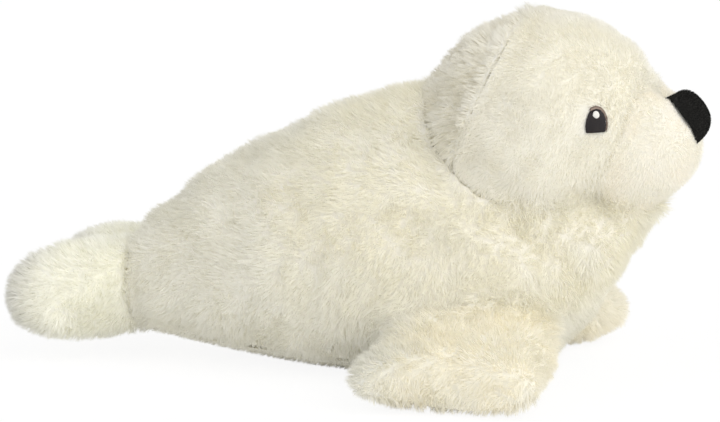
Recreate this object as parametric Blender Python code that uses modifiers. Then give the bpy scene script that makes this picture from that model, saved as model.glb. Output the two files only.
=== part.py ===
"""A stuffed toy seal lying on its belly, with its head raised.

Every solid is the outer envelope of the pile on one sewn and stuffed piece. The seal faces +X,
its left side is +Y, it lies on the plane z = 0, and all sizes are in metres.
"""

import math

import bmesh
import bpy
from mathutils import Matrix, Vector

# Gap between two pieces that are sewn together, and the fineness of the soft forms.
CLEARANCE = 0.0003
SMOOTH_LEVELS = 2
RING_SIDES = 8

# The body: x, half width, top, height of the widest line, underside.
BODY_SECTIONS = (
    (-0.1125, 0.034, 0.064, 0.038, 0.014),
    (-0.1000, 0.042, 0.074, 0.038, 0.011),
    (-0.0680, 0.054, 0.099, 0.040, 0.006),
    (-0.0320, 0.064, 0.119, 0.042, 0.001),
    (0.0050, 0.070, 0.135, 0.044, -0.003),
    (0.0400, 0.072, 0.143, 0.045, -0.005),
    (0.0740, 0.067, 0.116, 0.046, -0.004),
    (0.1000, 0.057, 0.098, 0.050, 0.008),
    (0.1180, 0.045, 0.094, 0.060, 0.032),
    (0.1420, 0.025, 0.090, 0.076, 0.064),
)

# The belly panel is the part of the body's form below a seam that rises towards the tail.
BELLY_SEAM_X = 0.020
BELLY_SEAM_HEIGHT = 0.0085
BELLY_SEAM_PITCH = math.radians(3.2)

# The head is a ball whose longest line runs from the nape up to the brow. It is split at the
# seam between the back of the head and the face.
HEAD_CENTRE_X = 0.0870
HEAD_CENTRE_Z = 0.1218
HEAD_LENGTH = 0.1130
HEAD_WIDTH = 0.1220
HEAD_HEIGHT = 0.1020
HEAD_PITCH = math.radians(42)
HEAD_SQUARENESS = 2.1
HEAD_SEAM_FORWARD = -0.0230
HEAD_SEAM_PITCH = math.radians(22)

# The muzzle is two cheeks, measured from the face that carries them and the middle of the head.
MUZZLE_REACH = 0.0245
MUZZLE_DROP = 0.0105
MUZZLE_LENGTH = 0.0600
MUZZLE_WIDTH = 0.0720
MUZZLE_HEIGHT = 0.0575
MUZZLE_SQUARENESS = 2.1
CHEEK_SPREAD = 0.0130

# The nose pad faces up and forward, and its middle lies a little inside the muzzle: height along
# the pad, half width, half depth.
NOSE_PITCH = math.radians(37)
NOSE_SINK = 0.0018
NOSE_SECTIONS = (
    (-0.0160, 0.0110, 0.0070),
    (-0.0100, 0.0190, 0.0126),
    (0.0040, 0.0230, 0.0138),
    (0.0090, 0.0180, 0.0082),
)

# The eyes, measured from the middle of the head, and their embroidery.
EYE_FORWARD = 0.0362
EYE_DROP = -0.0030
EYE_WIDTH = 0.0114
EYE_HEIGHT = 0.0160
EYE_RELIEF = 0.0013
EYE_FLAT_EDGE = 0.0032
RIM_WIDTH = 0.0011
RIM_RELIEF = 0.0008
RIM_START = 0.0025
RIM_LEAN = math.radians(41)
GLINT_WIDTH = 0.0032
GLINT_HEIGHT = 0.0040
GLINT_RELIEF = 0.0007
GLINT_BACK = 0.0004
GLINT_RISE = 0.0050
GLINT_LEAN = math.radians(25)
EYE_SEGMENTS = 16
EYE_BANDS = 6

# A front flipper: distance from the midline, middle x, half chord, top, underside.
FRONT_FLIPPER_SECTIONS = (
    (0.0400, 0.0730, 0.0360, 0.0520, 0.0040),
    (0.0600, 0.0700, 0.0405, 0.0470, -0.0030),
    (0.0800, 0.0685, 0.0435, 0.0400, -0.0040),
    (0.1030, 0.0680, 0.0445, 0.0345, -0.0030),
    (0.1180, 0.0680, 0.0400, 0.0260, 0.0015),
)

# A hind flipper: how far behind the tail's end, distance of its middle from the midline, half
# width, top, underside.
HIND_FLIPPER_SECTIONS = (
    (-0.0105, 0.0160, 0.0180, 0.0580, 0.0140),
    (0.0075, 0.0220, 0.0250, 0.0620, 0.0090),
    (0.0355, 0.0300, 0.0270, 0.0585, 0.0070),
    (0.0570, 0.0370, 0.0180, 0.0460, 0.0170),
)

# Sizes of the cutting blocks, larger than anything that they trim.
BLOCK = 0.6000
EYE_BLOCK = 0.0500


def clear_scene():
    """Removes the objects and collections that are there already."""
    for obj in list(bpy.data.objects):
        bpy.data.objects.remove(obj, do_unlink=True)
    for collection in list(bpy.data.collections):
        bpy.data.collections.remove(collection)


def new_collection(name):
    collection = bpy.data.collections.new(name)
    bpy.context.scene.collection.children.link(collection)
    return collection


def material(name, colour, roughness):
    """A cloth or thread material from a linear colour."""
    made = bpy.data.materials.new(name)
    made.use_nodes = True
    shader = made.node_tree.nodes["Principled BSDF"]
    shader.inputs["Base Color"].default_value = (*colour, 1.0)
    shader.inputs["Roughness"].default_value = roughness
    shader.inputs["Metallic"].default_value = 0.0
    made.diffuse_color = (*colour, 1.0)
    return made


def add_object(name, mesh, collection, cloth=None):
    obj = bpy.data.objects.new(name, mesh)
    collection.objects.link(obj)
    if cloth:
        mesh.materials.append(cloth)
    return obj


def make_cutter(obj):
    """Shows a helper as wire and keeps it out of the finished part."""
    obj.hide_render = True
    obj.display_type = "WIRE"
    return obj


def evaluated_mesh(obj):
    """The object's mesh after its modifiers."""
    graph = bpy.context.evaluated_depsgraph_get()
    graph.update()
    return bpy.data.meshes.new_from_object(obj.evaluated_get(graph))


def loft(rings):
    """A mesh whose rings of points are bridged in order and capped at both ends."""
    bm = bmesh.new()
    loops = []
    for index, ring in enumerate(rings):
        at_end = index in (0, len(rings) - 1)
        circle = bmesh.ops.create_circle(bm, segments=len(ring), radius=1.0, cap_ends=at_end)["verts"]
        for vertex, point in zip(circle, ring):
            vertex.co = point
        loops.append([edge for edge in bm.edges if edge.verts[0] in circle])
    for first, second in zip(loops, loops[1:]):
        bmesh.ops.bridge_loops(bm, edges=first + second)
    bmesh.ops.recalc_face_normals(bm, faces=bm.faces)
    mesh = bpy.data.meshes.new("loft")
    bm.to_mesh(mesh)
    bm.free()
    return mesh


def ring_angles():
    """The directions of a ring's points, each with the growth that smoothing takes back."""
    growth = 3.0 / (2.0 + math.cos(2.0 * math.pi / RING_SIDES))
    for step in range(RING_SIDES):
        angle = 2.0 * math.pi * step / RING_SIDES
        yield growth * math.cos(angle), growth * math.sin(angle)


def uneven_ring(half_width, top, middle, bottom):
    """Points (across, height) of a ring whose upper and lower halves differ in height."""
    for across, up in ring_angles():
        yield half_width * across, middle + up * (top - middle if up > 0.0 else middle - bottom)


def soft_object(name, rings, collection, cloth=None):
    """A smooth stuffed form on a coarse lofted cage."""
    obj = add_object(name, loft(rings), collection, cloth)
    obj.data.shade_smooth()
    smooth = obj.modifiers.new("smooth", "SUBSURF")
    smooth.levels = SMOOTH_LEVELS
    smooth.render_levels = SMOOTH_LEVELS
    return obj


def stretch_to_box(obj, centre, size):
    """Moves and scales a cage so that its smooth form fills a box exactly."""
    smooth = evaluated_mesh(obj)
    for axis in range(3):
        places = [vertex.co[axis] for vertex in smooth.vertices]
        low, high = min(places), max(places)
        scale = size[axis] / (high - low)
        for vertex in obj.data.vertices:
            vertex.co[axis] = centre[axis] + scale * (vertex.co[axis] - (low + high) / 2.0)
    bpy.data.meshes.remove(smooth)


def rounded_form(name, centre, size, squareness, collection):
    """A stuffed ball between an ellipsoid and a rounded box, with its rings across X."""
    rings = []
    for station in (-0.96, -0.75, -0.3, 0.3, 0.75, 0.96):
        radius = (1.0 - abs(station) ** squareness) ** (1.0 / squareness)
        rings.append([Vector((station, radius * a, radius * u)) for a, u in ring_angles()])
    obj = soft_object(name, rings, collection)
    stretch_to_box(obj, centre, size)
    return obj


def head_form(collection):
    size = (HEAD_LENGTH, HEAD_WIDTH, HEAD_HEIGHT)
    obj = rounded_form("head_form", (0.0, 0.0, 0.0), size, HEAD_SQUARENESS, collection)
    place = Matrix.Translation((HEAD_CENTRE_X, 0.0, HEAD_CENTRE_Z))
    obj.data.transform(place @ Matrix.Rotation(-HEAD_PITCH, 4, "Y"))
    return make_cutter(obj)


def cheeks_form(middle, collection):
    """Two stuffed cheeks that meet in a cleft on the midline."""
    centre = middle + Vector((0.0, CHEEK_SPREAD, 0.0))
    lobe = (MUZZLE_LENGTH, MUZZLE_WIDTH - 2.0 * CHEEK_SPREAD, MUZZLE_HEIGHT)
    obj = rounded_form("muzzle_form", centre, lobe, MUZZLE_SQUARENESS, collection)
    mirror = obj.modifiers.new("other_cheek", "MIRROR")
    mirror.use_axis = (False, True, False)
    mirror.use_bisect_axis = (False, True, False)
    mirror.merge_threshold = 0.00005
    return make_cutter(obj)


def grown_copy(obj, collection):
    """The same form, larger all round by the sewing clearance, for cutting its neighbours."""
    copy = obj.copy()
    copy.name = obj.name + "_cutter"
    collection.objects.link(copy)
    swell = copy.modifiers.new("swell", "DISPLACE")
    swell.mid_level = 0.0
    swell.strength = CLEARANCE
    return make_cutter(copy)


def block(name, centre, turn, collection):
    """A large cutting box centred on a point, after a turn about Y."""
    bm = bmesh.new()
    place = Matrix.Translation(centre) @ Matrix.Rotation(turn, 4, "Y")
    bmesh.ops.create_cube(bm, size=BLOCK, matrix=place)
    mesh = bpy.data.meshes.new(name)
    bm.to_mesh(mesh)
    bm.free()
    return make_cutter(add_object(name, mesh, collection))


def block_beside(name, point, direction, turn, collection):
    """A cutting box whose face passes through a point, and which lies on the side given."""
    away = Matrix.Rotation(turn, 3, "Y") @ Vector(direction)
    return block(name, Vector(point) + away * (BLOCK / 2.0), turn, collection)


def block_over_midline(side, label, collection):
    """A cutting box on the other side of the midline, half a clearance away from it."""
    centre = (0.0, side * (CLEARANCE - BLOCK) / 2.0, 0.0)
    return block("midline_" + label, centre, 0.0, collection)


def cut(obj, *cutters):
    for cutter in cutters:
        boolean = obj.modifiers.new("cut_" + cutter.name, "BOOLEAN")
        boolean.operation = "DIFFERENCE"
        boolean.solver = "EXACT"
        boolean.object = cutter


def body_form(collection):
    rings = []
    for x, half_width, top, middle, bottom in BODY_SECTIONS:
        rings.append([Vector((x, a, z)) for a, z in uneven_ring(half_width, top, middle, bottom)])
    return soft_object("body_form", rings, collection)


def piece_from(form, name, collection, cloth):
    """A finished piece on a copy of a form's cage and modifiers."""
    piece = form.copy()
    piece.data = form.data.copy()
    piece.name = name
    piece.hide_render = False
    piece.display_type = "TEXTURED"
    collection.objects.link(piece)
    piece.data.materials.clear()
    piece.data.materials.append(cloth)
    return piece


def front_flipper(side, name, collection, cloth):
    rings = []
    for out, x, half_chord, top, bottom in FRONT_FLIPPER_SECTIONS:
        ring = uneven_ring(half_chord, top, (top + bottom) / 2.0, bottom)
        rings.append([Vector((x + a, side * out, z)) for a, z in ring])
    return soft_object(name, rings, collection, cloth)


def hind_flipper(side, name, collection, cloth):
    tail_end = BODY_SECTIONS[0][0]
    rings = []
    for behind, out, half_width, top, bottom in HIND_FLIPPER_SECTIONS:
        ring = uneven_ring(half_width, top, (top + bottom) / 2.0, bottom)
        rings.append([Vector((tail_end - behind, side * out + a, z)) for a, z in ring])
    return soft_object(name, rings, collection, cloth)


def nose_pad(muzzle_form, middle, name, collection, cloth):
    """A rounded triangular pad, half sunk in the muzzle where its own axis meets the pile."""
    outward = Vector((math.cos(NOSE_PITCH), 0.0, math.sin(NOSE_PITCH)))
    seat = surface_point(muzzle_form, middle + outward * BLOCK, -outward)[0]
    turn = Matrix.Translation(seat) @ Matrix.Rotation(-NOSE_PITCH, 4, "Y")
    rings = []
    for height, half_width, depth in NOSE_SECTIONS:
        rings.append([
            turn @ Vector((depth * u - NOSE_SINK, half_width * a, height)) for a, u in ring_angles()])
    return soft_object(name, rings, collection, cloth)


def surface_point(form, start, direction):
    """Where a ray meets a smooth form, and the form's outward direction there."""
    graph = bpy.context.evaluated_depsgraph_get()
    graph.update()
    hit, point, normal, _ = form.evaluated_get(graph).ray_cast(start, direction)
    if not hit:
        raise ValueError("the ray misses " + form.name)
    return point, normal


def muzzle_middle(head):
    """The muzzle's own middle, from the point of the face that it stands on."""
    height = HEAD_CENTRE_Z - MUZZLE_DROP
    seat = surface_point(head, Vector((BLOCK, 0.0, height)), Vector((-1.0, 0.0, 0.0)))[0]
    return seat + Vector((MUZZLE_REACH - MUZZLE_LENGTH / 2.0, 0.0, 0.0))


def eye_place(head, side):
    """A frame on the face: X towards the nose, Y up along the pile, Z out of the face."""
    start = Vector((HEAD_CENTRE_X + EYE_FORWARD, side * BLOCK, HEAD_CENTRE_Z - EYE_DROP))
    point, out = surface_point(head, start, Vector((0.0, -side, 0.0)))
    forward = Vector((0.0, 0.0, 1.0)).cross(out).normalized() * -side
    up = out.cross(forward) * -side
    frame = Matrix((forward, up, out)).transposed().to_4x4()
    return Matrix.Translation(point) @ frame


def thread_dome(name, place, width, height, relief, lean, collection, cloth=None):
    """An embroidered oval that stands proud of the pile by its relief at the middle."""
    bm = bmesh.new()
    bmesh.ops.create_uvsphere(bm, u_segments=EYE_SEGMENTS, v_segments=EYE_BANDS, radius=0.5)
    shape = place @ Matrix.Rotation(lean, 4, "Z") @ Matrix.Diagonal((width, height, 2.0 * relief, 1.0))
    bmesh.ops.transform(bm, matrix=shape, verts=bm.verts)
    bmesh.ops.recalc_face_normals(bm, faces=bm.faces)
    mesh = bpy.data.meshes.new(name)
    bm.to_mesh(mesh)
    bm.free()
    mesh.shade_smooth()
    return add_object(name, mesh, collection, cloth)


def half_space(name, place, point, direction, collection):
    """A cutting box on one side of a line across the eye, given in the eye's own frame."""
    lean = math.atan2(direction[1], direction[0])
    bm = bmesh.new()
    bmesh.ops.create_cube(bm, size=EYE_BLOCK)
    shift = Matrix.Translation((point[0], point[1], 0.0)) @ Matrix.Rotation(lean, 4, "Z")
    shape = place @ shift @ Matrix.Translation((EYE_BLOCK / 2.0, 0.0, 0.0))
    bmesh.ops.transform(bm, matrix=shape, verts=bm.verts)
    bmesh.ops.recalc_face_normals(bm, faces=bm.faces)
    mesh = bpy.data.meshes.new(name)
    bm.to_mesh(mesh)
    bm.free()
    return make_cutter(add_object(name, mesh, collection))


def embroidered_eye(side, label, head, head_cutter, parts, cutters, cloths):
    """The dark oval, the taupe arc over its top and front, and the white highlight."""
    place = eye_place(head, side)
    eye = thread_dome("eye_" + label, place, EYE_WIDTH, EYE_HEIGHT, EYE_RELIEF, 0.0, parts, cloths["eye"])
    flat_edge = half_space("flat_" + label, place, (0.0, -EYE_FLAT_EDGE), (0.0, -1.0), cutters)
    cut(eye, head_cutter, flat_edge)

    eye_cutter = make_cutter(thread_dome(
        "eye_room_" + label, place, EYE_WIDTH + 2.0 * CLEARANCE, EYE_HEIGHT + 2.0 * CLEARANCE,
        EYE_RELIEF + CLEARANCE, 0.0, cutters))
    rim = thread_dome(
        "eye_rim_" + label, place, EYE_WIDTH + 2.0 * RIM_WIDTH, EYE_HEIGHT + 2.0 * RIM_WIDTH,
        RIM_RELIEF, 0.0, parts, cloths["rim"])
    ahead = (math.cos(RIM_LEAN), math.sin(RIM_LEAN))
    start = (RIM_START * ahead[0], RIM_START * ahead[1])
    behind = half_space("behind_" + label, place, start, (-ahead[0], -ahead[1]), cutters)
    cut(rim, head_cutter, eye_cutter, behind, flat_edge)

    share = (2.0 * GLINT_BACK / EYE_WIDTH) ** 2 + (2.0 * GLINT_RISE / EYE_HEIGHT) ** 2
    on_eye = place @ Matrix.Translation((-GLINT_BACK, GLINT_RISE, EYE_RELIEF * math.sqrt(1.0 - share)))
    glint = thread_dome(
        "eye_glint_" + label, on_eye, GLINT_WIDTH, GLINT_HEIGHT, GLINT_RELIEF, GLINT_LEAN, parts,
        cloths["glint"])
    cut(glint, eye_cutter)


def build():
    clear_scene()
    parts = new_collection("plush_seal")
    cutters = new_collection("cutters")
    cutters.hide_render = True
    cloths = {
        "body": material("long_pile", (0.73, 0.70, 0.60), 0.95),
        "belly": material("short_pile_underside", (0.55, 0.54, 0.46), 0.95),
        "head": material("long_pile_head", (0.80, 0.77, 0.66), 0.95),
        "face": material("face_pile", (0.88, 0.84, 0.68), 0.95),
        "flipper": material("flipper_pile", (0.87, 0.83, 0.66), 0.95),
        "nose": material("black_velour", (0.006, 0.006, 0.006), 0.9),
        "eye": material("dark_thread", (0.012, 0.008, 0.008), 0.5),
        "rim": material("taupe_thread", (0.25, 0.18, 0.14), 0.6),
        "glint": material("white_thread", (0.9, 0.9, 0.88), 0.5),
    }

    torso = make_cutter(body_form(cutters))
    torso_cutter = grown_copy(torso, cutters)
    head = head_form(cutters)
    head_cutter = grown_copy(head, cutters)
    snout_middle = muzzle_middle(head)
    snout = cheeks_form(snout_middle, cutters)
    snout_cutter = grown_copy(snout, cutters)

    floor = block_beside("floor", (0.0, 0.0, 0.0), (0.0, 0.0, -1.0), 0.0, cutters)
    seam = Vector((BELLY_SEAM_X, 0.0, BELLY_SEAM_HEIGHT))
    over = block_beside("over_seam", seam, (0.0, 0.0, 1.0), BELLY_SEAM_PITCH, cutters)
    under_point = seam + Vector((0.0, 0.0, CLEARANCE))
    under = block_beside("under_seam", under_point, (0.0, 0.0, -1.0), BELLY_SEAM_PITCH, cutters)
    cut(piece_from(torso, "body", parts, cloths["body"]), head_cutter, snout_cutter, under)
    cut(piece_from(torso, "belly_panel", parts, cloths["belly"]), over, floor)

    parting = Vector((HEAD_CENTRE_X + HEAD_SEAM_FORWARD, 0.0, HEAD_CENTRE_Z))
    ahead = block_beside("ahead_of_seam", parting, (1.0, 0.0, 0.0), HEAD_SEAM_PITCH, cutters)
    gap = Vector((CLEARANCE, 0.0, 0.0))
    astern = block_beside("behind_seam", parting + gap, (-1.0, 0.0, 0.0), HEAD_SEAM_PITCH, cutters)
    cut(piece_from(head, "head_back", parts, cloths["head"]), ahead)
    cut(piece_from(head, "face", parts, cloths["face"]), astern)
    cut(piece_from(snout, "muzzle", parts, cloths["face"]), head_cutter)
    cut(nose_pad(snout, snout_middle, "nose", parts, cloths["nose"]), snout_cutter)

    for side, label in ((1.0, "left"), (-1.0, "right")):
        embroidered_eye(side, label, head, head_cutter, parts, cutters, cloths)
        cut(front_flipper(side, "front_flipper_" + label, parts, cloths["flipper"]), torso_cutter, floor)
        middle = block_over_midline(side, label, cutters)
        cut(hind_flipper(side, "hind_flipper_" + label, parts, cloths["flipper"]), torso_cutter, middle)


build()
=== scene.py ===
import math

import bpy
import numpy as np
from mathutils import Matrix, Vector
from mathutils.bvhtree import BVHTree
from mathutils.kdtree import KDTree


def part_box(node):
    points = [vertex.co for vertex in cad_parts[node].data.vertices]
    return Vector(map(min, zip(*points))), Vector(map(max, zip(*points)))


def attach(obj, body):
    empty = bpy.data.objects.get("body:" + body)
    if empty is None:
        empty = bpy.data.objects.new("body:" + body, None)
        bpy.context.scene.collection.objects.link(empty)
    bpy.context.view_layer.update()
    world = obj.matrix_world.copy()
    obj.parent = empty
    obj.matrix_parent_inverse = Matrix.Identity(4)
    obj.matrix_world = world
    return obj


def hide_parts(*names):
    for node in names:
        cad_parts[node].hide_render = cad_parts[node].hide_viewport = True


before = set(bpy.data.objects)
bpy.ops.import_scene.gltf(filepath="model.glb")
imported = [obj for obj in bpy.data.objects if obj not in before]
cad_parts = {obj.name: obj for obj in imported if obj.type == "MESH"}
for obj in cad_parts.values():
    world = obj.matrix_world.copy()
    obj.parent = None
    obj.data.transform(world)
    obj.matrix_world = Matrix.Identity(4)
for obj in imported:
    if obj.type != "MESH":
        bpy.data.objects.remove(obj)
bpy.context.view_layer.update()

# The camera stands a little above the toy and in front of its right side, 1.5 m away, with a
# long lens, so that the seal faces right as it does in the photograph.
VIEW_TURN = math.radians(15.0)
VIEW_RISE = math.radians(8.5)
VIEW_DISTANCE = 1.5
VIEW_TARGET = Vector((0.0, 0.0, 0.074))
PIXEL_AT_TARGET = 0.000482
IMAGE_MIDDLE = (360, 211)
IMAGE_WIDTH = 720
SENSOR_WIDTH = 36.0

towards_camera = Vector((
    math.sin(VIEW_TURN) * math.cos(VIEW_RISE),
    -math.cos(VIEW_TURN) * math.cos(VIEW_RISE),
    math.sin(VIEW_RISE)))
camera_data = bpy.data.cameras.new("camera")
camera_data.sensor_width = SENSOR_WIDTH
camera_data.lens = SENSOR_WIDTH * VIEW_DISTANCE / (PIXEL_AT_TARGET * IMAGE_WIDTH)
camera = bpy.data.objects.new("camera", camera_data)
camera.location = VIEW_TARGET + towards_camera * VIEW_DISTANCE
camera.rotation_euler = towards_camera.to_track_quat("Z", "Y").to_euler()
bpy.context.scene.collection.objects.link(camera)
bpy.context.scene.camera = camera

# The studio: a white paper floor under soft, even light. One broad lamp stands above the camera's
# right, a weaker one fills from the left, and the white room gives the rest. To the camera the
# paper glows nearly white, so that only a faint shadow stays on it.
bpy.context.scene.view_settings.view_transform = "Standard"
KEY_STRENGTH = 1.35
FILL_STRENGTH = 0.35
ROOM_STRENGTH = 0.6
LAMP_SPREAD = math.radians(50)
FLOOR_SIZE = 40.0
PAPER = "#FAFAFA"
PAPER_GLOW = 0.88
PAPER_LIGHT = 1.03
FIBRE_BOUNCES = 12


def linear(code, alpha=1.0):
    """A hex colour of the screen as the shader's own linear colour."""
    channels = [int(code[i:i + 2], 16) / 255.0 for i in (1, 3, 5)]
    return [c / 12.92 if c <= 0.04045 else ((c + 0.055) / 1.055) ** 2.4 for c in channels] + [alpha]


def add(tree, kind, sockets=None, **settings):
    """Adds a shader node. Each socket gets a value, or the output of another node."""
    node = tree.nodes.new(kind)
    for key, value in settings.items():
        setattr(node, key, value)
    for key, value in (sockets or {}).items():
        if isinstance(value, bpy.types.NodeSocket):
            tree.links.new(value, node.inputs[key])
        else:
            node.inputs[key].default_value = value
    return node


def empty_material(name):
    made = bpy.data.materials.new(name)
    made.use_nodes = True
    made.node_tree.nodes.clear()
    return made


def sun(name, aim_from, strength, colour):
    lamp = bpy.data.lights.new(name, "SUN")
    lamp.energy = strength
    lamp.angle = LAMP_SPREAD
    lamp.color = linear(colour)[:3]
    holder = bpy.data.objects.new(name, lamp)
    holder.rotation_euler = Vector(aim_from).to_track_quat("Z", "Y").to_euler()
    bpy.context.scene.collection.objects.link(holder)


sun("key_lamp", (1.0, -0.65, 0.75), KEY_STRENGTH, "#FFFCF4")
sun("fill_lamp", (-0.6, -0.6, 0.6), FILL_STRENGTH, "#F8FAFF")

room = bpy.data.worlds.new("white_room")
room.use_nodes = True
room.node_tree.nodes.clear()
seen = add(room.node_tree, "ShaderNodeLightPath")
behind_glass = add(room.node_tree, "ShaderNodeMath", {
    0: seen.outputs["Is Camera Ray"], 1: seen.outputs["Is Transmission Ray"]}, operation="MAXIMUM")
shown = add(room.node_tree, "ShaderNodeMath", {
    0: behind_glass.outputs[0], 1: seen.outputs["Is Glossy Ray"]}, operation="MAXIMUM")
glow = add(room.node_tree, "ShaderNodeMapRange", {
    "Value": shown.outputs[0], "To Min": ROOM_STRENGTH, "To Max": 1.0})
backdrop = add(room.node_tree, "ShaderNodeBackground", {"Color": (1, 1, 1, 1), "Strength": glow.outputs[0]})
add(room.node_tree, "ShaderNodeOutputWorld", {"Surface": backdrop.outputs[0]})
bpy.context.scene.world = room
# White pile passes light from fibre to fibre many times before it leaves.
bpy.context.scene.cycles.diffuse_bounces = FIBRE_BOUNCES

paper = empty_material("white_paper")
tree = paper.node_tree
seen = add(tree, "ShaderNodeLightPath")
share = add(tree, "ShaderNodeMath", {0: seen.outputs["Is Camera Ray"], 1: PAPER_GLOW}, operation="MULTIPLY")
sheet = add(tree, "ShaderNodeBsdfDiffuse", {"Color": linear(PAPER)})
lit = add(tree, "ShaderNodeEmission", {"Color": (1, 1, 1, 1), "Strength": PAPER_LIGHT})
both = add(tree, "ShaderNodeMixShader", {0: share.outputs[0], 1: sheet.outputs[0], 2: lit.outputs[0]})
add(tree, "ShaderNodeOutputMaterial", {"Surface": both.outputs[0]})
bpy.ops.object.select_all(action="DESELECT")
bpy.ops.mesh.primitive_plane_add(size=FLOOR_SIZE)
floor = bpy.context.object
floor.name = "floor"
floor.data.materials.append(paper)

# The torso: a stuffed bag of long-pile polyester plush. The knitted backing is sewn shut over
# loose fibre, and the pile lies back towards the tail and hangs down the flanks in soft tufts.
# Backings are remeshed at a voxel's size, and the cloth solver swells them by a limited amount.
VOXEL = 0.005
MERGE = 0.00001
STUFFING_PRESSURE = 4.0
SWELL_LIMIT = 0.003
SWELL_FRAMES = 20
# At a seam the pieces touch within the joint's reach, a groove sinks, and a hollow is filled.
JOINT_REACH = 0.0008
SEAM_ROOM = 0.0012
SEAM_REACH = 0.008
SEAM_DEPTH = 0.3
SEAM_SINK = 0.5
HOLLOW_REACH = 0.014
HOLLOW_RISE = 0.0040
# No strand grows at the edge of a seated piece or under it, and it is parted a little around it.
BARE_EDGE = 0.0004
BARE_PARTING = 0.5
COVER_REACH = 0.004
RAY_STEP = 0.00002
MOST_CROSSINGS = 12
# Strands swirl over a wide and a narrow size, roll in lumps, and differ by these shares.
STRAND_SIDES = 3
SWIRL_SIZE = 0.022
RUFFLE_SIZE = 0.007
RUFFLE_SHARE = 0.8
LUMP_SIZE = 0.010
LUMP_LIMIT = 1.5
BRUSHED = 3.0
BRUSHED_LIMIT = 0.4
STRAND_HEIGHTS = (0.75, 1.1)
STRAND_REACHES = (0.7, 1.15)
STRAND_WIDTHS = (0.8, 1.2)
TUFT_HEIGHTS = (0.85, 1.15)
TUFT_PULLS = (0.6, 1.0)
TUFT_ROOM = 1.6
FINEST_TUFT = 0.0011
STRAND_TONES = 0.2
TUFT_TONES = 0.22
FLAT_FACE_TURN = math.radians(30.0)
TWIST = 0.15
ROOT_SINK = 0.15
OFF_AXIS = 1e-6
# On the floor the tips bend flat, and the underside carries fewer strands.
FLOOR_PRESS = 0.0015
UNDERSIDE_SLOPE = -0.5
UNDERSIDE_THINNED = 0.6
# On the bake's map each strand fills the middle of its square.
MAP_MARGIN = 0.1
MAP_INSIDE = 0.8
# Smooth random drifts are sums of a few waves.
DRIFT_WAVES = 7
DRIFT_RATE = 2.4
DRIFT_SCALE = 2.6
TINY = 1e-9


def tree_of(mesh, polygons=None):
    """A search tree over a mesh, or over some of its faces."""
    chosen = mesh.polygons if polygons is None else polygons
    return BVHTree.FromPolygons([v.co.copy() for v in mesh.vertices], [tuple(p.vertices) for p in chosen])


cad_trees = {name: tree_of(node.data) for name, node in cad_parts.items()}


def points_of(mesh):
    co = np.zeros(len(mesh.vertices) * 3, np.float32)
    mesh.vertices.foreach_get("co", co)
    return co.reshape(-1, 3).astype(float)


def normals_of(mesh):
    normals = np.zeros(len(mesh.vertices) * 3, np.float32)
    mesh.vertex_normals.foreach_get("vector", normals)
    return normals.reshape(-1, 3).astype(float)


def unit(vectors):
    return vectors / np.maximum(np.linalg.norm(vectors, axis=1, keepdims=True), TINY)


def smooth_step(low, high, values):
    t = np.clip((values - low) / (high - low), 0.0, 1.0)
    return t * t * (3.0 - 2.0 * t)


def drift(points, size, seed):
    """Three smooth random numbers for each point, about -1 to 1, that change over a size."""
    draw = np.random.RandomState(seed)
    total = np.zeros((len(points), 3))
    for _ in range(DRIFT_WAVES):
        waves = draw.normal(size=(3, 3)) * (DRIFT_RATE / size)
        total += np.sin(points @ waves + draw.uniform(0.0, 2.0 * math.pi, 3))
    return total / DRIFT_SCALE


def distance_to(points, node):
    """How far each point is from a solid."""
    search = cad_trees[node]
    return np.array([search.find_nearest(point)[3] for point in points])


def parting_at(points, strength):
    """How deeply a seam is parted at each point: 1 is a deep groove, 0 a flat join, and below 0
    the pile is brushed over the seam and grows longer there."""
    return np.full(len(points), strength) if not callable(strength) else strength(points)


def fullness_at(points, meets, reach):
    """How full the pile stands, from 0 in a seam to 1 in the open and more over a hidden seam."""
    full, over = np.ones(len(points)), np.zeros(len(points))
    for node, strength in meets.items():
        near = 1.0 - smooth_step(SEAM_ROOM, SEAM_ROOM + reach, distance_to(points, node))
        near = near * parting_at(points, strength)
        full, over = np.minimum(full, 1.0 - near), np.maximum(over, -near)
    return full + over


def inside_any(points, nodes):
    """Whether each point lies within one of some solids: a ray from it then leaves through an
    odd number of faces."""
    found = np.zeros(len(points), bool)
    ray = Vector((0.31, 0.17, 0.93)).normalized()
    for node in nodes:
        low, high = (np.array(corner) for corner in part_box(node))
        near = np.all((points > low) & (points < high), axis=1) & ~found
        for index in np.nonzero(near)[0]:
            start, crossings = Vector(points[index]), 0
            while crossings < MOST_CROSSINGS:
                hit = cad_trees[node].ray_cast(start, ray)[0]
                if hit is None:
                    break
                crossings += 1
                start = hit + ray * RAY_STEP
            found[index] = crossings % 2 == 1
    return found


def covered_by(points, directions, node):
    """Whether a piece that is seated on a backing lies close over each point of it."""
    cast = cad_trees[node].ray_cast
    return np.array([cast(Vector(point), Vector(direction), COVER_REACH)[0] is not None
                     for point, direction in zip(points, directions)])


def activate(obj):
    bpy.ops.object.select_all(action="DESELECT")
    obj.select_set(True)
    bpy.context.view_layer.objects.active = obj


def open_faces(node, meets):
    """The faces of a solid that aren't pressed against a neighbour, as a search tree."""
    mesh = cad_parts[node].data
    open_ones = [p for p in mesh.polygons if all(
        cad_trees[other].find_nearest(p.center)[3] > JOINT_REACH for other in meets)]
    return tree_of(mesh, open_ones)


def crease_into(points, normals, creases):
    """Presses soft folds into a backing. Each is a line of points, a depth and a width."""
    for line, depth, width in creases:
        ends = np.array(line, float)
        nearest = np.full(len(points), 1.0)
        for first, second in zip(ends, ends[1:]):
            along = second - first
            share = np.clip(((points - first) @ along) / (along @ along), 0.0, 1.0)
            nearest = np.minimum(nearest, np.linalg.norm(points - first - share[:, None] * along, axis=1))
        points = points - normals * (depth * np.exp(-(nearest / width) ** 2))[:, None]
    return points


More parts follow.
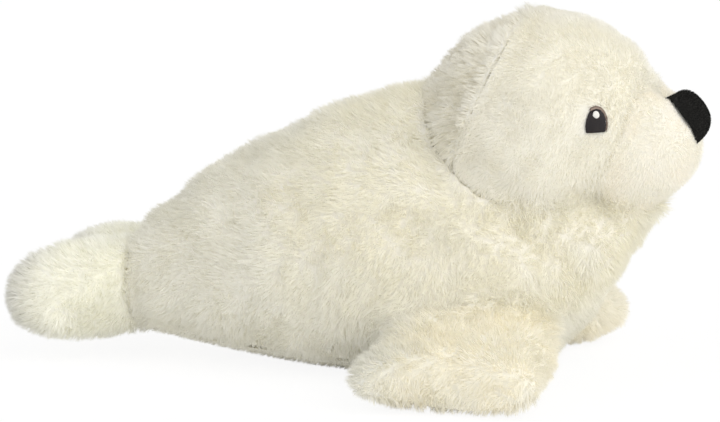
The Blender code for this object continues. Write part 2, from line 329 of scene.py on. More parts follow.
def backing(name, node, depth, meets, cloth, voxel=VOXEL, seated=(), creases=(),
            waves=0.0, wave_size=0.03, seed=1, nudges=()):
    """The stuffed, knitted backing under the pile. It lies a pile's depth in from the solid's
    open faces, meets its neighbours inside, and comes out to carry what is seated on it. The
    stuffing fills the hollow at a hidden seam, and nudges move it where the toy was pressed."""
    obj = bpy.data.objects.new(name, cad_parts[node].data.copy())
    bpy.context.scene.collection.objects.link(obj)
    activate(obj)
    bpy.ops.object.mode_set(mode="EDIT")
    bpy.ops.mesh.select_all(action="SELECT")
    bpy.ops.mesh.remove_doubles(threshold=MERGE)
    bpy.ops.object.mode_set(mode="OBJECT")
    obj.data.remesh_voxel_size = voxel
    bpy.ops.object.voxel_remesh()

    mesh = obj.data
    points = points_of(mesh)
    search = open_faces(node, meets)
    found = [search.find_nearest(point) for point in points]
    outward = unit(np.array([hit[1] for hit in found]) + normals_of(mesh))
    covered = np.array([hit[3] for hit in found])
    shown = 1.0 - smooth_step(0.5 * voxel, 0.5 * voxel + 2.0 * abs(depth), covered)
    uncovered, rise = shown.copy(), np.zeros(len(points))
    for other, strength in {**meets, **{piece: 0.0 for piece in seated}}.items():
        parted, gap = parting_at(points, strength), distance_to(points, other)
        near = 1.0 - smooth_step(SEAM_ROOM, SEAM_ROOM + 1.5 * abs(depth), gap)
        shown *= 1.0 - near * (1.0 - SEAM_SINK * np.maximum(parted, 0.0))
        hollow = np.clip(1.0 - gap / HOLLOW_REACH, 0.0, 1.0) ** 2
        rise = np.maximum(rise, np.maximum(-parted, 0.0) * hollow * uncovered * HOLLOW_RISE)
    points = points + outward * (rise - shown * depth)[:, None]
    for centre, radius, shift in nudges:
        near = np.exp(-(np.linalg.norm(points - np.array(centre), axis=1) / radius) ** 2)
        points = points + (near * uncovered)[:, None] * np.array(shift)
    points = points + outward * (shown * waves * drift(points, wave_size, seed)[:, 0])[:, None]
    points = crease_into(points, outward, creases)
    mesh.vertices.foreach_set("co", points.astype(np.float32).ravel())
    mesh.update()

    seam = obj.vertex_groups.new(name="seam")
    for index, value in enumerate(shown):
        seam.add([index], float(1.0 - value) ** 2, "REPLACE")
    cushion = obj.modifiers.new("stuffing", "CLOTH")
    cushion.settings.use_pressure = True
    cushion.settings.uniform_pressure_force = STUFFING_PRESSURE
    cushion.settings.vertex_group_mass = "seam"
    cushion.settings.effector_weights.gravity = 0.0
    for step in range(1, SWELL_FRAMES + 1):
        bpy.context.scene.frame_set(step)
    swollen = obj.evaluated_get(bpy.context.evaluated_depsgraph_get()).to_mesh()
    move = points_of(swollen) - points
    size = np.linalg.norm(move, axis=1)
    move *= np.minimum(1.0, SWELL_LIMIT / np.maximum(size, TINY))[:, None]
    obj.to_mesh_clear()
    obj.modifiers.remove(cushion)
    obj.vertex_groups.clear()
    mesh.vertices.foreach_set("co", (points + move).astype(np.float32).ravel())
    mesh.update()
    bpy.context.scene.frame_set(1)

    activate(obj)
    finer = obj.modifiers.new("finer", "SUBSURF")
    finer.levels = finer.render_levels = 1
    bpy.ops.object.modifier_apply(modifier="finer")
    obj.data.shade_smooth()
    obj.data.materials.clear()
    obj.data.materials.append(cloth)
    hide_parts(node)
    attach(obj, "root")
    return obj


def roots_on(base, count, seed):
    """Random places spread evenly over a backing, with the directions out of it."""
    draw = np.random.RandomState(seed)
    mesh = base.data
    mesh.calc_loop_triangles()
    corners = np.zeros(len(mesh.loop_triangles) * 3, np.int32)
    mesh.loop_triangles.foreach_get("vertices", corners)
    corners = corners.reshape(-1, 3)
    points, normals = points_of(mesh), normals_of(mesh)
    a, b, c = (points[corners[:, i]] for i in range(3))
    areas = np.linalg.norm(np.cross(b - a, c - a), axis=1) / 2.0
    steps = (np.arange(count) + draw.uniform(0.0, 1.0, count)) / count
    picked = np.searchsorted(np.cumsum(areas) / areas.sum(), steps)
    picked = np.minimum(picked, len(areas) - 1)
    u, v = draw.uniform(0.0, 1.0, (2, count))
    flip = u + v > 1.0
    u[flip], v[flip] = 1.0 - u[flip], 1.0 - v[flip]
    shares = np.stack([1.0 - u - v, u, v], axis=1)
    at = corners[picked]
    places, directions = (np.einsum("nc,nck->nk", shares, values[at]) for values in (points, normals))
    return places, unit(directions)


def pile(name, base, count, height, reach, width, lay, meets, cloth, seed, bare=(),
         tuft=0.003, gather=0.6, swirl=0.35, frizz=0.2, lumps=0.2, parts=None):
    """Grows a fleece of tapered strands on a backing. Height is how far the tips stand off it,
    and reach is how far they lean along the lay. Gathered tips make tufts, the height rolls in
    soft lumps, and the strands over a hidden seam are brushed every way."""
    roots, out = roots_on(base, count, seed)
    draw = np.random.RandomState(seed + 1)
    hidden = inside_any(roots + out * SEAM_ROOM, meets)
    for node in bare:
        hidden |= (distance_to(roots, node) < BARE_EDGE) | covered_by(roots, out, node)
    under = (out[:, 2] < UNDERSIDE_SLOPE) & (roots[:, 2] < height)
    under &= draw.uniform(size=count) < UNDERSIDE_THINNED
    keep = ~(hidden | under)
    roots, out = roots[keep], out[keep]
    fullness = fullness_at(roots, {**meets, **{node: BARE_PARTING for node in bare}}, SEAM_REACH)
    count = len(roots)

    flow = unit(np.asarray(lay(roots, out), float)) + swirl * drift(roots, SWIRL_SIZE, seed + 2)
    loose = frizz + BRUSHED * np.clip(fullness - 1.0, 0.0, BRUSHED_LIMIT)[:, None]
    ruffle = RUFFLE_SHARE * swirl * drift(roots, RUFFLE_SIZE, seed + 3)
    flow += ruffle + loose * draw.normal(size=(count, 3))
    flow = unit(flow - out * np.sum(flow * out, axis=1, keepdims=True))
    full = np.maximum(fullness, SEAM_DEPTH + (1.0 - SEAM_DEPTH) * fullness)
    rolling = 1.0 + lumps * np.clip(drift(roots, LUMP_SIZE, seed + 4)[:, 0], -LUMP_LIMIT, LUMP_LIMIT)
    tall = height * full * rolling * draw.uniform(*STRAND_HEIGHTS, count)
    far = reach * (0.5 + 0.5 * full) * draw.uniform(*STRAND_REACHES, count)
    tip = roots + out * tall[:, None] + flow * far[:, None]

    tufts = max(1, int(count * min(1.0, (FINEST_TUFT / tuft) ** 2)))
    centres = draw.choice(count, tufts, replace=False)
    search = KDTree(len(centres))
    for index, centre in enumerate(centres):
        search.insert(roots[centre], index)
    search.balance()
    nearest = np.array([search.find(point)[1] for point in roots])
    leader = centres[nearest]
    rise = draw.uniform(*TUFT_HEIGHTS, len(centres))[nearest]
    goal = tip[leader] + out[leader] * (height * (rise - 1.0))[:, None]
    pull = gather * draw.uniform(*TUFT_PULLS, count) * np.exp(
        -(np.linalg.norm(roots - roots[leader], axis=1) / (TUFT_ROOM * tuft)) ** 2)
    tip = tip + (goal - tip) * pull[:, None]

    tone = 0.5 + STRAND_TONES * draw.normal(size=count)
    tone += TUFT_TONES * draw.normal(size=len(centres))[nearest]
    first = unit(tip - roots)
    side = unit(np.cross(out, first) + OFF_AXIS)
    ring = []
    spin = FLAT_FACE_TURN + TWIST * draw.normal(size=count)
    for corner in range(STRAND_SIDES):
        angle = spin + 2.0 * math.pi * corner / STRAND_SIDES
        ring.append(side * np.cos(angle)[:, None] + np.cross(first, side) * np.sin(angle)[:, None])
    start = roots - out * (ROOT_SINK * height)
    radius = width / 2.0 * draw.uniform(*STRAND_WIDTHS, count)[:, None]
    verts = np.stack([start + direction * radius for direction in ring] + [tip], axis=1)
    level = verts[:, :, 2]
    pressed = FLOOR_PRESS * np.exp(np.minimum(level, FLOOR_PRESS) / FLOOR_PRESS - 1.0)
    verts[:, :, 2] = np.where(level < FLOOR_PRESS, pressed, level)

    labels = parts(roots) if parts else np.zeros(count, int)
    for label in range(int(labels.max()) + 1):
        chosen = labels == label
        part_name = name if parts is None else f"{name}_{label + 1}"
        fleece = strand_mesh(part_name, verts[chosen], np.clip(tone[chosen], 0.0, 1.0), cloth)
        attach(fleece, "root")


def strand_mesh(name, verts, tone, cloth):
    """One mesh of many alike strands, each with a square of its own on the bake's map."""
    count, size = verts.shape[:2]
    faces = [(2, 1, 0)] + [(i, (i + 1) % STRAND_SIDES, STRAND_SIDES) for i in range(STRAND_SIDES)]
    along = np.tile([0.0] * STRAND_SIDES + [1.0], (count, 1))
    mesh = bpy.data.meshes.new(name)
    triangles = (np.arange(count)[:, None, None] * size + np.array(faces)[None]).reshape(-1, 3)
    mesh.vertices.add(count * size)
    mesh.vertices.foreach_set("co", verts.astype(np.float32).ravel())
    mesh.loops.add(triangles.size)
    mesh.loops.foreach_set("vertex_index", triangles.astype(np.int32).ravel())
    mesh.polygons.add(len(triangles))
    mesh.polygons.foreach_set("loop_start", np.arange(0, triangles.size, 3, dtype=np.int32))
    mesh.update(calc_edges=True)
    for label, values in (("along", along), ("tone", np.repeat(tone[:, None], size, axis=1))):
        kept = mesh.attributes.new(label, "FLOAT", "POINT")
        kept.data.foreach_set("value", values.astype(np.float32).ravel())

    cells = math.ceil(math.sqrt(count))
    corner = np.stack([np.arange(count) % cells, np.arange(count) // cells], axis=1)
    across = (np.arange(size) % STRAND_SIDES) / STRAND_SIDES
    across[-1] = 0.5
    local = np.stack([MAP_MARGIN + MAP_INSIDE * across, MAP_MARGIN + MAP_INSIDE * along[0]], axis=1)
    places = ((corner[:, None, :] + local[None]) / cells).reshape(-1, 2)
    layer = mesh.uv_layers.new(name="OFBake")
    layer.uv.foreach_set("vector", places[triangles.ravel()].astype(np.float32).ravel())
    mesh.shade_flat()
    mesh.materials.append(cloth)
    obj = bpy.data.objects.new(name, mesh)
    bpy.context.scene.collection.objects.link(obj)
    return obj


def plush_material(name, root, warm, patch_and_shade_grey, painted_shade_x=None, patch_mm=30.0, knit_mm=None, painted_shade_z=None,
                   patchy=0.6):
    """Polyester plush: matt crimped fibre with a soft sheen at grazing angles, its roots painted a
    little darker than its tips as painted shade deep in the pile. Broad patches are a greyer
    white at random, and towards the low ends of the ranges given along X and Z the grey is painted shade."""
    made = empty_material(name)
    tree = made.node_tree
    place = add(tree, "ShaderNodeTexCoord").outputs["Object"]
    along = add(tree, "ShaderNodeAttribute", attribute_name="along").outputs["Fac"]
    tone = add(tree, "ShaderNodeAttribute", attribute_name="tone").outputs["Fac"]
    patches = add(tree, "ShaderNodeTexNoise", {
        "Vector": place, "Scale": 1000.0 / patch_mm, "Detail": 3.0, "Roughness": 0.6}).outputs["Fac"]
    patch_and_shade_mask = add(tree, "ShaderNodeMapRange", {
        "Value": patches, "From Min": 0.42, "From Max": 0.7, "To Max": patchy}).outputs[0]
    # Painted shade: below the start of each range along X or Z the fibre is painted grey, fading out
    # towards the range's end.
    for axis, ends in (("X", painted_shade_x), ("Z", painted_shade_z)):
        if ends:
            spot = add(tree, "ShaderNodeSeparateXYZ", {0: place}).outputs[axis]
            shade_end_mask = add(tree, "ShaderNodeMapRange", {
                "Value": spot, "From Min": ends[0], "From Max": ends[1], "To Min": 0.8, "To Max": 0.0},
                interpolation_type="SMOOTHSTEP")
            both = add(tree, "ShaderNodeMath", {
                0: patch_and_shade_mask, 1: shade_end_mask.outputs[0]}, operation="ADD", use_clamp=True)
            patch_and_shade_mask = both.outputs[0]
    tips = add(tree, "ShaderNodeMixRGB", {"Fac": patch_and_shade_mask, "Color1": linear(warm), "Color2": linear(patch_and_shade_grey)})
    # Painted shade deep in the pile: the roots are painted darker than the tips.
    height = add(tree, "ShaderNodeMapRange", {"Value": along, "From Max": 0.8}).outputs[0]
    roots = add(tree, "ShaderNodeMixRGB", {"Fac": patch_and_shade_mask, "Color1": linear(root), "Color2": linear(patch_and_shade_grey)})
    fibre = add(tree, "ShaderNodeMixRGB", {
        "Fac": height, "Color1": roots.outputs[0], "Color2": tips.outputs[0]}).outputs[0]
    shade = add(tree, "ShaderNodeMapRange", {"Value": tone, "To Min": 0.965, "To Max": 1.0}).outputs[0]
    colour = add(tree, "ShaderNodeHueSaturation", {"Color": fibre, "Value": shade}).outputs[0]
    shader = add(tree, "ShaderNodeBsdfPrincipled", {
        "Base Color": colour, "Roughness": 0.9, "Specular IOR Level": 0.25, "Sheen Weight": 0.25,
        "Sheen Roughness": 0.6, "Sheen Tint": linear("#FFFDF4")})
    if knit_mm:
        loops = add(tree, "ShaderNodeTexNoise", {"Vector": place, "Scale": 1000.0 / knit_mm, "Detail": 2.0})
        bump = add(tree, "ShaderNodeBump", {
            "Height": loops.outputs["Fac"], "Strength": 0.6, "Distance": knit_mm / 1000.0})
        tree.links.new(bump.outputs["Normal"], shader.inputs["Normal"])
    add(tree, "ShaderNodeOutputMaterial", {"Surface": shader.outputs[0]})
    return made


def steady(direction):
    """The lay of a pile that is brushed one way all over its backing."""
    return lambda points, out: np.tile(direction, (len(points), 1))


# The torso's pile is painted greyer towards the tail and low down: painted shade away from the key lamp and
# near the floor.
long_pile = plush_material(
    "polyester_plush_long", root="#FBF9EF", warm="#FDFBF0", patch_and_shade_grey="#F6F5EE", painted_shade_x=(-0.07, 0.03),
    patch_mm=34.0, painted_shade_z=(0.004, 0.068))
knit = plush_material("knitted_backing", root="#FAF7EE", warm="#FAF7EE", patch_and_shade_grey="#FAF7EE", knit_mm=0.9)
BODY_CUTS = (-0.035, 0.032)


def body_lay(points, out):
    back = smooth_step(0.3, 1.0, out[:, 2])
    flow = np.zeros((len(points), 3))
    flow[:, 0] = -0.55 - 0.45 * back
    flow[:, 2] = -1.0 + 0.6 * back
    return flow


def body_parts(points):
    """Which of three meshes a strand of the body belongs to: tail, middle or chest."""
    return sum((points[:, 0] > cut).astype(int) for cut in BODY_CUTS)


def through_pixel(node, x, y):
    """The point of a solid that the photograph shows at a pixel."""
    across = Vector((math.cos(VIEW_TURN), math.sin(VIEW_TURN), 0.0))
    up = towards_camera.cross(across)
    seen_at = VIEW_TARGET + (across * (x - IMAGE_MIDDLE[0]) - up * (y - IMAGE_MIDDLE[1])) * PIXEL_AT_TARGET
    aim = (seen_at - camera.location).normalized()
    return cad_trees[node].ray_cast(camera.location, aim)[0]


def folds_on(node, folds):
    """Soft folds on the side that the camera sees, and their likes on the other side. Each is
    given as pixels of the photograph, a depth and a width."""
    made = []
    for pixels, depth, width in folds:
        line = [through_pixel(node, x, y) for x, y in pixels]
        mirrored = [Vector((point.x, -point.y, point.z)) for point in line]
        made += [(line, depth, width), (mirrored, depth, width)]
    return made


BODY_FOLDS = (
    (((520, 222), (532, 236), (541, 250)), 0.0030, 0.0050),
    (((566, 250), (578, 268), (586, 292)), 0.0035, 0.0055),
    (((338, 236), (352, 268), (346, 300)), 0.0020, 0.0060),
    (((398, 214), (410, 240), (404, 262)), 0.0020, 0.0070),
)
# Between these places a seam goes over from parted to flat or brushed over.
FLIPPER_SEAM_FADES = (0.055, 0.085)
NAPE_SEAM_FADES = (0.110, 0.135)
JAW_SEAM_FADES = (0.068, 0.090)


def near_flipper_back(points):
    """The flipper's top seam shows at its rear and is brushed over at its front."""
    return 0.5 - 1.1 * smooth_step(*FLIPPER_SEAM_FADES, points[:, 0])


def near_nape(points):
    """The neck seam is deepest beside the neck, and shallow over its top."""
    return 0.25 - 0.35 * smooth_step(*NAPE_SEAM_FADES, points[:, 2])


def near_jaw(points):
    """Under the head the neck seam goes on for a little way, and then the pile hides it."""
    return 0.2 - 0.8 * smooth_step(*JAW_SEAM_FADES, points[:, 0])


BODY_MEETS = {
    "belly_panel": 0.3, "head_back": near_nape, "face": near_jaw, "muzzle": -0.8,
    "front_flipper_left": near_flipper_back, "front_flipper_right": near_flipper_back,
    "hind_flipper_left": -0.1, "hind_flipper_right": -0.1}
BODY_NUDGES = (
    ((0.141, 0.0, 0.083), 0.015, (0.0045, 0.0, 0.0)),
    ((0.136, 0.0, 0.060), 0.016, (-0.0040, 0.0, 0.0020)),
)
body = backing(
    "body_backing", "body", depth=0.0037, meets=BODY_MEETS, cloth=knit,
    creases=folds_on("body", BODY_FOLDS), waves=0.0012, seed=5, nudges=BODY_NUDGES)
pile(
    "body_pile", body, count=110000, height=0.0045, reach=0.0036, width=0.00052, lay=body_lay,
    meets=BODY_MEETS, cloth=long_pile, seed=11, tuft=0.0032, gather=0.6, swirl=0.7,
    frizz=0.6, parts=body_parts)

# The underside: a gusset of shorter pile that the seal lies on, coloured a greyer white than the
# torso. It shows as a low band under the flank, and flattens on the floor.
short_pile = plush_material(
    "polyester_plush_short", root="#F0EEE5", warm="#F4F3EC", patch_and_shade_grey="#EEEDE5", patch_mm=20.0)
BELLY_MEETS = {"body": 0.5, "front_flipper_left": 0.5, "front_flipper_right": 0.5}
belly = backing(
    "belly_backing", "belly_panel", depth=0.0012, meets=BELLY_MEETS, cloth=short_pile,
    voxel=0.004)
pile(
    "belly_pile", belly, count=9000, height=0.0022, reach=0.0020, width=0.0006,
    lay=steady((-1.0, 0.0, -0.15)), meets=BELLY_MEETS, cloth=short_pile, seed=21,
    tuft=0.0016, gather=0.3, lumps=0.1)

# The back of the head: the same long pile, brushed up and left fluffier than the torso's, in a
# cap that is sewn to the face along the fold behind the cheek.
# The cap is painted greyer towards its back: painted shade where it turns away from the lamp.
head_pile = plush_material(
    "polyester_plush_head", root="#FEFBF3", warm="#FEFDF7", patch_and_shade_grey="#F7F5ED", painted_shade_x=(0.055, 0.112),
    patch_mm=26.0)
CROWN_FOLD_STARTS = (0.132, 0.150)
CROWN_FOLD_ENDS = (0.156, 0.166)
CROWN_TOP_FADES = (0.160, 0.170)


def near_crown(points):
    """The fold between the cap and the face shows behind the temple, and is brushed over both at
    the crown and down the cheek."""
    level = points[:, 2]
    fold = smooth_step(*CROWN_FOLD_STARTS, level) * (1.0 - smooth_step(*CROWN_FOLD_ENDS, level))
    return 0.32 * fold - 0.2 + 0.14 * smooth_step(*CROWN_TOP_FADES, level)


HEAD_NUDGES = (
    ((0.099, 0.0, 0.172), 0.032, (0.0, 0.0, -0.0032)),
    ((0.054, 0.0, 0.160), 0.018, (-0.0020, 0.0, 0.0030)),
    ((0.135, 0.0, 0.156), 0.012, (0.0050, 0.0, 0.0040)),
    ((0.150, 0.0, 0.142), 0.008, (0.0, 0.0, -0.0040)),
    ((0.090, 0.0, 0.176), 0.014, (0.0, 0.0, -0.0012)),
    ((0.038, 0.0, 0.147), 0.012, (0.0020, 0.0, -0.0025)),
)
HEAD_MEETS = {"body": near_nape, "face": near_crown}
head = backing(
    "head_backing", "head_back", depth=0.0042, meets=HEAD_MEETS, cloth=head_pile,
    waves=0.0015, wave_size=0.02, seed=6, nudges=HEAD_NUDGES)
pile(
    "head_pile", head, count=32000, height=0.0050, reach=0.0034, width=0.0005,
    lay=steady((-0.8, 0.0, -0.6)), meets=HEAD_MEETS, cloth=head_pile, seed=31,
    tuft=0.0036, gather=0.7, swirl=0.8, frizz=0.6)

# The face: shorter cream pile, smoothed back from the muzzle over the brow and the cheeks. It
# covers the front of the same stuffed ball as the cap behind it.
# The face is painted greyer towards the cap, so that its painted shade runs on into the cap's.
face_pile = plush_material(
    "polyester_plush_face", root="#FEFCF4", warm="#FEFDF8", patch_and_shade_grey="#F8F6EE", painted_shade_x=(0.055, 0.112),
    patch_mm=24.0)
EYE_PIECES = ("eye_left", "eye_right", "eye_rim_left", "eye_rim_right")


def away_from(centre, drop):
    """The lay of a pile that is smoothed away from a place, and down by a drop."""
    def lay(points, out):
        flow = points - np.array(centre)
        flow[:, 2] -= drop
        return flow
    return lay


FACE_MEETS = {"body": near_jaw, "head_back": near_crown, "muzzle": -0.3}
FACE_FOLDS = (
    (((597, 97), (606, 101), (611, 110)), 0.0012, 0.0022),
    (((545, 130), (560, 150), (590, 175)), 0.0006, 0.0030),
)
face = backing(
    "face_backing", "face", depth=0.0028, meets=FACE_MEETS, cloth=face_pile,
    seated=EYE_PIECES, creases=folds_on("face", FACE_FOLDS), waves=0.0006, wave_size=0.02, seed=7,
    nudges=HEAD_NUDGES)
pile(
    "face_pile", face, count=66000, height=0.0028, reach=0.0034, width=0.0005,
    lay=away_from((0.150, 0.0, 0.118), drop=0.035), meets=FACE_MEETS, cloth=face_pile,
    seed=41, bare=EYE_PIECES, tuft=0.0026, gather=0.2, swirl=0.35, frizz=0.35,
    lumps=0.12)

# The nose: a pad of black velour over a wad of fibre, glued and stitched across the front of
# the muzzle. Its fibre is so short that the pad keeps a clean edge.
velour = plush_material("black_velour", root="#080808", warm="#141414", patch_and_shade_grey="#0C0C0C", patch_mm=9.0)
VELOUR_SHEEN = 0.08
velour.node_tree.nodes["Principled BSDF"].inputs["Sheen Weight"].default_value = VELOUR_SHEEN
NOSE_NUDGES = (
    ((0.158, 0.0, 0.137), 0.010, (-0.0005, 0.0, -0.0026)),
    ((0.167, 0.021, 0.126), 0.009, (-0.0010, 0.0040, -0.0010)),
    ((0.167, -0.021, 0.126), 0.009, (-0.0010, -0.0040, -0.0010)),
    ((0.175, 0.0, 0.118), 0.008, (-0.0015, 0.0, 0.0020)),
)
nose = backing(
    "nose_backing", "nose", depth=-0.0006, meets={"muzzle": 2.0}, cloth=velour,
    voxel=0.0014, nudges=NOSE_NUDGES)
# The muzzle's pile stays clear of the nose's dressed pad as well as of its solid.
cad_trees["nose_backing"] = tree_of(nose.data)
pile(
    "nose_pile", nose, count=8500, height=0.0009, reach=0.0006, width=0.0004,
    lay=steady((0.2, 0.0, -1.0)), meets={"muzzle": 0.0}, cloth=velour, seed=55,
    tuft=0.0012, gather=0.3, swirl=0.3, frizz=0.5, lumps=0.0)

# The muzzle: two small stuffed cheeks of the shortest, smoothest pile, which carry the nose.
muzzle_pile = plush_material(
    "polyester_plush_muzzle", root="#FEFBF3", warm="#FFFDF7", patch_and_shade_grey="#FBFAF3", patch_mm=18.0)
MUZZLE_MEETS = {"face": -0.3, "head_back": 0.0, "body": -0.8}
MUZZLE_NUDGES = (((0.149, 0.0, 0.138), 0.013, (0.0, 0.0, -0.0055)),)
muzzle = backing(
    "muzzle_backing", "muzzle", depth=0.0020, meets=MUZZLE_MEETS, cloth=muzzle_pile,
    voxel=0.004, seated=("nose",), nudges=MUZZLE_NUDGES)
pile(
    "muzzle_pile", muzzle, count=21000, height=0.0022, reach=0.0017, width=0.00045,
    lay=away_from((0.165, 0.0, 0.130), drop=0.01), meets=MUZZLE_MEETS, cloth=muzzle_pile,
    seed=51, bare=("nose", "nose_backing"), tuft=0.0020, gather=0.2, swirl=0.25,
    frizz=0.35, lumps=0.08)

# The eyes: satin stitch on the face cloth. Near-black polyester thread fills the oval from top to
# bottom, short taupe stitches arch over its top and front, and a few white ones make the glint.
THREAD = 0.00044
THREAD_PITCH = 0.00038
THREAD_POINTS = 9
THREAD_RAISED = THREAD * 0.15
THREAD_TWIST_MM = 0.5
# Half the width and half the height that the stitches may span. The solids' own edges end them.
EYE_SPAN = (0.0060, 0.0110)
RIM_SPAN = (0.0056, 0.0080)
GLINT_SPAN = (0.0022, 0.0034)
GLINT_LEAN = math.radians(-25.0)
RIM_WIDTH = 0.0011
RIM_FROM_TO = (-0.2, 1.5)
RIM_STITCHES = 90
RIM_POINTS = 6
SATIN_SAMPLES = 45
# The lines are dropped onto the domed solids from a little way off.
HEAD_MIDDLE = Vector((0.087, 0.0, 0.122))
FACING_OUT = 0.3
DROP_START = 0.01
DROP_REACH = 0.0115


def thread_material(name, colour, twist_mm):
    """Trilobal polyester thread: smooth and slightly glossy, with its twist as fine ribs, which are
    painted lighter where they rise and darker where they sink, as painted light and shade.
    """
    made = empty_material(name)
    tree = made.node_tree
    place = add(tree, "ShaderNodeTexCoord").outputs["Object"]
    grain = add(tree, "ShaderNodeTexNoise", {"Vector": place, "Scale": 1000.0 / twist_mm, "Detail": 2.0})
    # Painted light and shade: the thread is tinted lighter where the twist's ribs rise and darker where
    # they sink.
    rib_light_and_shade = add(tree, "ShaderNodeMapRange", {"Value": grain.outputs["Fac"], "To Min": 0.8, "To Max": 1.15})
    tint = add(tree, "ShaderNodeHueSaturation", {"Color": linear(colour), "Value": rib_light_and_shade.outputs[0]})
    bump = add(tree, "ShaderNodeBump", {
        "Height": grain.outputs["Fac"], "Strength": 0.4, "Distance": twist_mm / 2000.0})
    shader = add(tree, "ShaderNodeBsdfPrincipled", {
        "Base Color": tint.outputs[0], "Roughness": 0.42, "Normal": bump.outputs["Normal"]})
    add(tree, "ShaderNodeOutputMaterial", {"Surface": shader.outputs[0]})
    return made


def eye_frame(node, side):
    """The eye's middle, and its directions towards the nose, up along the face, and out."""
    low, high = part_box(node)
    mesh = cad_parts[node].data
    away = ((low + high) / 2.0 - HEAD_MIDDLE).normalized()
    outer = [p for p in mesh.polygons if p.normal.dot(away) > FACING_OUT]
    out = sum((p.normal * p.area for p in outer), Vector()).normalized()
    forward = Vector((0.0, 0.0, 1.0)).cross(out).normalized() * -side
    return (low + high) / 2.0, forward, out.cross(forward) * -side, out


def stitches(name, node, lines, cloth):
    """Threads laid over a domed solid along lines of points, with the solid as their wad."""
    curve = bpy.data.curves.new(name, "CURVE")
    curve.dimensions = "3D"
    curve.bevel_depth = THREAD / 2.0
    curve.bevel_resolution = 1
    curve.use_fill_caps = True
    for line in lines:
        spline = curve.splines.new("POLY")
        spline.points.add(len(line) - 1)
        for point, place in zip(spline.points, line):
            point.co = (*place, 1.0)
    threads = bpy.data.objects.new(name, curve)
    bpy.context.scene.collection.objects.link(threads)
    activate(threads)
    bpy.ops.object.convert(target="MESH")
    wad = bpy.data.objects.new(name + "_wad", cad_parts[node].data.copy())
    bpy.context.scene.collection.objects.link(wad)
    threads.data.materials.clear()
    wad.data.materials.clear()
    wad.select_set(True)
    bpy.context.view_layer.objects.active = threads
    bpy.ops.object.join()
    bpy.ops.object.mode_set(mode="EDIT")
    bpy.ops.mesh.select_all(action="SELECT")
    bpy.ops.mesh.remove_doubles(threshold=MERGE)
    bpy.ops.object.mode_set(mode="OBJECT")
    threads.data.shade_smooth()
    threads.data.materials.append(cloth)
    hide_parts(node)
    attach(threads, "root")


def over_dome(node, origin, directions, u, v):
    """Where a point of the eye's own plane meets the domed solid, or None beside it."""
    forward, up, out = directions
    start = origin + forward * u + up * v + out * DROP_START
    return cad_trees[node].ray_cast(start, -out, DROP_REACH)[0]


def satin_lines(node, side, span, lean):
    """Parallel stitches from edge to edge of a domed solid."""
    half_width, half_height = span
    origin, forward, up, out = eye_frame(node, side)
    along = up * math.cos(lean) + forward * math.sin(lean)
    across = forward * math.cos(lean) - up * math.sin(lean)
    lines = []
    for step in range(int(2 * half_width / THREAD_PITCH) + 1):
        u = -half_width + step * THREAD_PITCH
        hits = [over_dome(node, origin, (across, along, out), u, v)
                for v in np.linspace(-half_height, half_height, SATIN_SAMPLES)]
        hits = [hit for hit in hits if hit is not None]
        if len(hits) > 3:
            picked = np.linspace(0, len(hits) - 1, min(THREAD_POINTS, len(hits))).astype(int)
            lines.append([hits[i] + out * THREAD_RAISED for i in picked])
    return lines


def arch_lines(node, eye_node, side, span):
    """Short stitches that cross the rim from the eye's edge outwards."""
    half_width, half_height = span
    origin, forward, up, out = eye_frame(eye_node, side)
    lines = []
    for step in range(RIM_STITCHES):
        turn = 2.0 * math.pi * step / RIM_STITCHES
        inner = (half_width * math.cos(turn), half_height * math.sin(turn))
        outward = Vector((inner[0] / half_width ** 2, inner[1] / half_height ** 2)).normalized()
        line = []
        for share in np.linspace(*RIM_FROM_TO, RIM_POINTS):
            u = inner[0] + outward.x * RIM_WIDTH * share
            v = inner[1] + outward.y * RIM_WIDTH * share
            hit = over_dome(node, origin, (forward, up, out), u, v)
            if hit is not None:
                line.append(hit + out * THREAD_RAISED)
        if len(line) > 2:
            lines.append(line)
    return lines


dark_thread = thread_material("polyester_thread_dark", "#1E181A", THREAD_TWIST_MM)
taupe_thread = thread_material("polyester_thread_taupe", "#8D7B6F", THREAD_TWIST_MM)
white_thread = thread_material("polyester_thread_white", "#FBFAF6", THREAD_TWIST_MM)
for side_name, side in (("left", 1.0), ("right", -1.0)):
    eye, rim, glint = (stem + side_name for stem in ("eye_", "eye_rim_", "eye_glint_"))
    stitches("satin_" + eye, eye, satin_lines(eye, side, EYE_SPAN, 0.0), dark_thread)
    stitches("satin_" + rim, rim, arch_lines(rim, eye, side, RIM_SPAN), taupe_thread)
    glint_lines = satin_lines(glint, side, GLINT_SPAN, GLINT_LEAN)
    stitches("satin_" + glint, glint, glint_lines, white_thread)

# The front flippers: stuffed paddles of the body's pile, sewn on behind the chest and spread on
# the floor, with the pile brushed outwards over their edges.
# The flippers are painted greyer towards their rear: painted shade where they tuck in under the body.
flipper_pile = plush_material(
    "polyester_plush_flipper", root="#FCF9EE", warm="#FEFBF1", patch_and_shade_grey="#F2F1EA", painted_shade_x=(0.025, 0.060),
    patch_mm=28.0)
FLIPPER_FOLDS = (
    (((452, 352), (460, 366), (458, 380)), 0.0030, 0.0040),
    (((452, 384), (458, 396)), 0.0025, 0.0035),
)
FLIPPER_MIDDLE = 0.068
FLIPPER_SPREAD = 6.0


def front_lay(points, out):
    """The pile fans out from the flipper's middle, and hangs over its edge."""
    flow = np.zeros((len(points), 3))
    flow[:, 0] = -0.35 + (points[:, 0] - FLIPPER_MIDDLE) * FLIPPER_SPREAD
    flow[:, 1] = np.sign(points[:, 1]) * 0.8
    flow[:, 2] = -0.7
    return flow


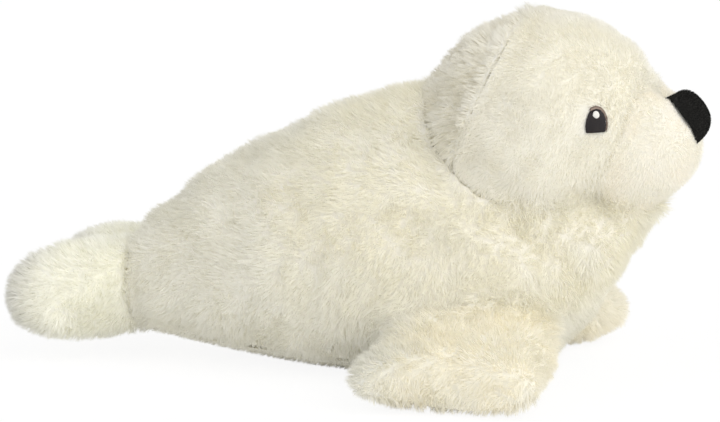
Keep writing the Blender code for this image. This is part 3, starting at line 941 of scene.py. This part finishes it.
FRONT_MEETS = {"body": near_flipper_back, "belly_panel": 0.5}
flipper_folds = folds_on("front_flipper_right", FLIPPER_FOLDS)
FLIPPER_NUDGES = {
    "left": (((0.108, 0.080, 0.010), 0.020, (0.0075, 0.0, 0.0)),),
    "right": (((0.032, -0.106, 0.010), 0.016, (-0.0025, -0.0110, 0.0)),
              ((0.104, -0.094, 0.008), 0.019, (0.0040, -0.0065, 0.0))),
}
for side_name, seed in (("left", 61), ("right", 71)):
    node = "front_flipper_" + side_name
    flipper = backing(
        node + "_backing", node, depth=0.0038, meets=FRONT_MEETS, cloth=flipper_pile,
        creases=flipper_folds, waves=0.0012, wave_size=0.02, seed=seed,
        nudges=FLIPPER_NUDGES[side_name])
    pile(
        node + "_pile", flipper, count=17000, height=0.0044, reach=0.0036, width=0.00055,
        lay=front_lay, meets=FRONT_MEETS, cloth=flipper_pile, seed=seed,
        tuft=0.0034, gather=0.6, swirl=0.6, frizz=0.55)

# The hind flippers: two stuffed lobes sewn across the end of the tail, whose pile runs straight
# back and ends in ragged points.
# The lobes are painted greyer towards their ends: painted shade at the end of the tail.
hind_pile = plush_material(
    "polyester_plush_hind", root="#FFFEF6", warm="#FFFFF9", patch_and_shade_grey="#E1E0DA", painted_shade_x=(-0.172, -0.136),
    patch_mm=28.0, patchy=0.12)
HIND_NUDGES = (
    ((-0.161, 0.050, 0.014), 0.016, (0.0065, 0.0, 0.0015)),
    ((-0.161, -0.050, 0.014), 0.016, (0.0065, 0.0, 0.0015)),
)
for side_name, other, seed in (("left", "right", 81), ("right", "left", 91)):
    node = "hind_flipper_" + side_name
    meets = {"body": -0.1, "belly_panel": 0.0, "hind_flipper_" + other: 0.8}
    flipper = backing(
        node + "_backing", node, depth=0.0038, meets=meets, cloth=hind_pile,
        waves=0.0010, wave_size=0.02, seed=seed, nudges=HIND_NUDGES)
    pile(
        node + "_pile", flipper, count=12000, height=0.0044, reach=0.0048, width=0.00055,
        lay=steady((-1.0, 0.0, -0.25)), meets=meets, cloth=hind_pile, seed=seed,
        tuft=0.0034, gather=0.6, swirl=0.35, frizz=0.45, lumps=0.12)
